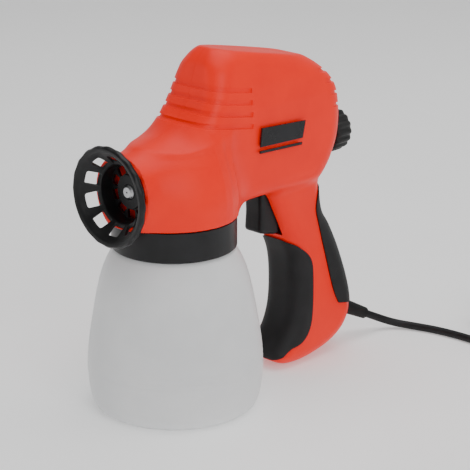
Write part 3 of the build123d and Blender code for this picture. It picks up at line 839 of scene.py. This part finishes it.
def build_housing():
    H = Housing(1.25)
    vo, fo = H.mesh(0.0)
    vi, fi = H.mesh(-2.4)
    outer = quick_mesh("outer", vo, fo, M["orange"])
    inner = quick_mesh("inner", vi, fi, M["orange"])
    vg, fg = H.mesh(-1.15)
    groove_floor = quick_mesh("groove_floor", vg, fg, M["orange"])
    # louvre steps round the front and the sides of the head, and over its back
    slabs = []
    tilt = Matrix.Rotation(math.radians(-9.5), 3, "X")
    for z in (208.6, 201.0, 193.4, 185.8):
        slabs.append(box("slab", (-40, -30, z - 1.5), (40, 46, z + 1.5), tilt))
    back = Matrix.Rotation(math.radians(-9.5), 3, "X")
    for y, z in ((125, 202), (130, 194.6), (134, 186.4), (136.4, 178)):
        slabs.append(box("slab", (-40, y - 16, z - 1.3), (40, y + 14, z + 1.3), back))
    for s in slabs:
        boolean(s, [groove_floor])
    shell = outer
    boolean(shell, [inner])
    for s in slabs:
        boolean(shell, [s])
    cutters = [
        cylinder("mouth", (0, -60, ZS), (0, -20, ZS), 21.7, n=96),
        cylinder("knob_hole", (0, 120, ZK), (0, 160, ZK), 7.6),
        cylinder("boot_hole", (0, 128, 40.0), (0, 176, 16.5), 5.4),
        box("trigger_slot", (-9.0, 66.0, 93.6), (9.0, 99.0, 136.5)),
        cylinder("collar_hole", (0, 0, 110), (0, 0, 130.5), 37.0, n=96),
    ]
    for c in cutters:
        boolean(shell, [c])
    drop(inner, groove_floor, *slabs, *cutters)
    halves = []
    for name, lo, hi in (("housing_shell_right", 0.05, 60), ("housing_shell_left", -60, -0.05)):
        part = copy_of(shell, name)
        side = box("side", (lo, -80, -20), (hi, 200, 260))
        boolean(part, [side], "INTERSECT")
        drop(side)
        part.data.materials.clear()
        part.data.materials.append(M["orange"])
        finish_shading(part, 38)
        halves.append(part)
    drop(shell)
    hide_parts("housing_right")
    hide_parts("housing_left")
    for h in halves:
        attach(h, "gun")
    # soft grips: skins that stand a little proud of the same surface
    vp, fp = H.mesh(1.0)
    skin_out = quick_mesh("skin_out", vp, fp, M["grip"])
    vq, fq = H.mesh(-0.2)
    skin_in = quick_mesh("skin_in", vq, fq, M["grip"])
    boolean(skin_out, [skin_in])
    for name, outline, node in (("front_grip_pad", FRONT_GRIP_S, "front_grip"),
                                ("rear_grip_pad", REAR_GRIP_S, "rear_grip")):
        g = copy_of(skin_out, name)
        c = prism("clip", smooth_closed(outline, 5), -30, 30)
        boolean(g, [c], "INTERSECT")
        slot_box = box("slot_box", (-9.0, 60.0, 93.6), (9.0, 99.0, 136.5))
        boolean(g, [slot_box])
        if node == "rear_grip":
            c2 = cylinder("boot_gap", (0, 128, 40.0), (0, 176, 16.5), 5.6)
            boolean(g, [c2])
            drop(c2)
        drop(c, slot_box)
        g.data.materials.clear()
        g.data.materials.append(M["grip"])
        finish_shading(g, 40)
        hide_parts(node)
        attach(g, "gun")
    drop(skin_out, skin_in)


build_housing()


# ------------------------------------------------------------------ spray guard
def solid_lathe(name, profile, mat, axis="Y", centre=(0, 0, ZS), n=128, mod=None, angle=35):
    return lathe(name, profile, mat, axis, centre, n, mod, True, angle)


def build_guard():
    """Basket: a lobed front ring, a slotted cone wall and a webbed floor round the nozzle."""
    def lobes(a, i, r, h):
        # eight shallow lobes round the rim only
        if r > 31.0:
            return 0.22 * math.cos(20 * a)
        return 0.0
    prof = [(20.0, -34.0), (20.4, -44.0), (27.4, -52.0), (28.4, -52.6), (30.6, -52.0),
            (31.5, -52.5), (31.9, -53.5), (31.9, -54.6), (31.4, -55.7), (30.6, -56.4),
            (29.2, -56.4), (28.2, -55.8), (27.2, -54.4), (25.0, -51.8), (18.4, -44.2),
            (17.9, -35.9), (11.0, -35.9), (10.7, -34.1), (17.0, -34.0)]
    wall = solid_lathe("guard_basket", prof, M["guard"], n=160, mod=lobes, angle=40)
    # windows: ten through the wall and ten through the floor
    cut = []
    for i in range(10):
        a = math.radians(18.0 + 36.0 * i)
        rot = Matrix.Rotation(-a, 3, "Y")
        d = Vector((math.cos(a), 0, math.sin(a)))
        c = Vector((0, -48.4, ZS)) + d * 24.0
        w = box("w", (c.x - 7.0, c.y - 3.5, c.z - 4.6), (c.x + 7.0, c.y + 3.5, c.z + 4.6), rot)
        bev = w.modifiers.new("b", "BEVEL")
        bev.width = 0.0011
        bev.segments = 3
        apply_modifiers(w)
        cut.append(w)
        c = Vector((0, -35.0, ZS)) + d * 14.4
        w = box("w", (c.x - 2.9, c.y - 3, c.z - 3.3), (c.x + 2.9, c.y + 3, c.z + 3.3), rot)
        bev = w.modifiers.new("b", "BEVEL")
        bev.width = 0.0008
        bev.segments = 2
        apply_modifiers(w)
        cut.append(w)
    for w in cut:
        boolean(wall, [w])
    drop(*cut)
    finish_shading(wall, 35)
    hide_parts("nozzle_guard")
    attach(wall, "guard")


build_guard()


def build_mouth_web():
    """Orange web of the housing round the nut, at the bottom of the round mouth."""
    ob = lathe("mouth_web", [(11.2, -31.2), (21.6, -31.2), (21.6, -29.4), (11.2, -29.4)],
               M["orange"], "Y", (0, 0, ZS), 96)
    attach(ob, "gun")


build_mouth_web()


# ------------------------------------------------------------------ adjusting knob
def build_knob():
    """Fluted knob with a dished end and a collar."""
    n = 192
    stations = [(137.8, 12.6, 0.0), (138.3, 14.0, 0.5), (139.4, 14.9, 1.0), (142.0, 15.0, 1.0),
                (149.0, 14.8, 1.0), (151.2, 14.2, 0.9), (152.3, 12.9, 0.5), (152.6, 11.6, 0.15),
                (152.2, 10.6, 0.0), (151.4, 10.0, 0.0), (151.2, 6.0, 0.0), (151.2, 0.4, 0.0)]
    rings = []
    for y, r, k in stations:
        ring = []
        for j in range(n):
            a = 2 * math.pi * j / n
            flute = 0.5 - 0.5 * math.cos(16 * a)
            rr = r - 1.15 * k * flute ** 1.5
            ring.append((rr * math.cos(a), y, ZK + rr * math.sin(a)))
        rings.append(ring)
    head = loft_rings("knob_grip", rings, M["knob"], angle=50)
    hub = lathe("knob_hub", [(3.6, 124.2), (6.9, 124.2), (7.1, 124.5), (7.1, 137.9), (3.6, 137.9)],
                M["knob"], "Y", (0, 0, ZK), 64)
    line = box("mark", (-0.55, 151.0, ZK + 3.0), (0.55, 152.5, ZK + 9.0))
    line.data.materials.clear()
    line.data.materials.append(M["print"])
    bev = line.modifiers.new("b", "BEVEL")
    bev.width = 0.0003
    bev.segments = 2
    apply_modifiers(line)
    line.name = "knob_mark"
    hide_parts("adjust_knob")
    for ob in (head, hub, line):
        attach(ob, "knob")


build_knob()


# ------------------------------------------------------------------ trigger
TRIGGER_S = [(70.8, 126), (70.9, 112), (70.3, 103), (70.3, 99.6), (72.8, 97.9), (79, 96.4),
             (85.4, 95.1), (88.0, 96.6), (88.5, 104), (88.6, 118), (88.6, 128), (88.7, 134.8),
             (84.5, 136.8), (79.5, 135.2), (75, 131)]


def build_trigger():
    """Moulded trigger with rounded edges and a bore for its pin."""
    step = 0.7
    lo = np.array([-11.0, 66.0, 91.0])
    n = np.ceil((np.array([11.0, 93.0, 141.0]) - lo) / step).astype(int) + 1
    x = lo[0] + step * np.arange(n[0])
    y = lo[1] + step * np.arange(n[1])
    z = lo[2] + step * np.arange(n[2])
    Y2, Z2 = np.meshgrid(y, z, indexing="ij")
    d2 = outline_distance(smooth_closed(TRIGGER_S, 4), Y2, Z2)
    f = rounded_slab(d2[None], x[:, None, None], 8.2, 3.0)
    v, fc = nets(f, lo, step, 3)
    body = quick_mesh("trigger_lever", v, fc, M["trigger"])
    bore = cylinder("bore", (-12, 84.5, 132.5), (12, 84.5, 132.5), 1.8)
    boolean(body, [bore])
    drop(bore)
    finish_shading(body, 40)
    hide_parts("trigger")
    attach(body, "trigger")


build_trigger()


# ------------------------------------------------------------------ container and collar
def build_container():
    """Blown container: stepped foot, faint moulded rings and a neck under the collar."""
    out = [(0.0, 1.6), (30, 1.5), (42.0, 1.2), (44.5, 0.2), (48.0, 0.0), (50.4, 0.7), (52.3, 2.2),
           (53.6, 4.6), (54.6, 7.9), (55.2, 11.0), (55.9, 16.0), (56.3, 22.0)]
    z = 24.0
    curve = [(56.3, 20), (56.6, 31), (55.3, 44), (53.2, 58.6), (50.2, 74.6), (46.3, 90),
             (43.2, 98), (40.4, 103.2), (38.6, 105.8)]
    cs = np.array(curve, float)
    t = np.linspace(24, 104.5, 82)
    # smooth radius as a cubic through the curve's points
    coef = np.polyfit(cs[:, 1], cs[:, 0], 5)
    for h in t:
        r = float(np.polyval(coef, h))
        for ring, depth in ((30.0, 0.28), (33.4, 0.28), (36.8, 0.22)):
            r -= depth * math.exp(-((h - ring) / 0.75) ** 2)
        out.append((r, h))
    out += [(38.0, 106.0), (36.4, 106.4), (36.2, 118.2)]
    inner = [(35.0, 118.2), (35.0, 106.8)]
    for h in np.linspace(104.0, 24, 60):
        inner.append((float(np.polyval(coef, h)) - 1.6, h))
    inner += [(54.6, 18), (53.2, 9.0), (51.6, 5.0), (48.5, 3.0), (30, 3.0), (0.0, 3.0)]
    prof = out + inner
    ob = lathe("container_shell", prof, M["milky"], "Z", (0, 0, 0), 160, None, False, 30)
    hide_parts("container")
    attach(ob, "container")


build_container()


# ------------------------------------------------------------------ springs
def helix_spring(name, lo, hi, axis, wire, turns):
    """Closed-end compression spring filling the box from lo to hi, millimetres."""
    o = [i for i in range(3) if i != axis]
    c = [(lo[i] + hi[i]) / 2 for i in range(3)]
    rad = min(hi[o[0]] - lo[o[0]], hi[o[1]] - lo[o[1]]) / 2 - wire / 2 - 0.05
    length = hi[axis] - lo[axis] - wire - 0.2
    n = int(turns * 28)
    m = 10
    path = []
    for i in range(n + 1):
        t = i / n
        # dead turns at each end
        e = 0.7 / turns
        u = 0.0 if t < e else (1.0 if t > 1 - e else (t - e) / (1 - 2 * e))
        a = 2 * math.pi * turns * t
        p = [0, 0, 0]
        p[axis] = lo[axis] + wire / 2 + 0.1 + length * u
        p[o[0]] = c[o[0]] + rad * math.cos(a)
        p[o[1]] = c[o[1]] + rad * math.sin(a)
        path.append(Vector(p))
    rings = []
    ax = Vector([1.0 if i == axis else 0.0 for i in range(3)])
    for i, p in enumerate(path):
        tan = (path[min(i + 1, n)] - path[max(i - 1, 0)]).normalized()
        side = tan.cross(ax).normalized()
        up = side.cross(tan).normalized()
        rings.append([tuple(p + (side * math.cos(2 * math.pi * j / m)
                                 + up * math.sin(2 * math.pi * j / m)) * wire / 2)
                      for j in range(m)])
    return loft_rings(name, rings, M["spring"], angle=60)


def build_springs():
    jobs = (("piston_spring", "piston_spring_wire", 1.1, 6.5, "piston_slide", 3.05,
             "lo"),
            ("trigger_spring", "trigger_spring_wire", 0.6, 5.0, "trigger_pull", 4.3, "hi"))
    for node, name, wire, turns, joint, travel, end in jobs:
        lo, hi = [[c * 1000 for c in p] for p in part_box(node)]
        ob = helix_spring(name, lo, hi, 1, wire, turns)
        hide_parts(node)
        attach(ob, "gun")
        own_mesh(ob)
    lo, hi = [[c * 1000 for c in p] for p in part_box("valve_spring")]
    ob = helix_spring("valve_spring_wire", lo, hi, 1, 0.5, 5.0)
    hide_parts("valve_spring")
    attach(ob, "gun")


build_springs()

# @@PIECES@@

aim = (0.02, 0.04, 0.11)
soft_light("top", (0.05, 0.3, 1.6), aim, (1.6, 1.6), 22.0)
soft_light("key", (1.35, -0.45, 0.85), aim, (0.9, 0.9), 8.5)
soft_light("front", (-0.6, -1.4, 0.8), aim, (0.9, 0.7), 2.4)

world = bpy.data.worlds.new("studio")
bpy.context.scene.world = world
world.use_nodes = True
bg = world.node_tree.nodes["Background"]
bg.inputs["Color"].default_value = (1, 1, 1, 1)
bg.inputs["Strength"].default_value = 0.15
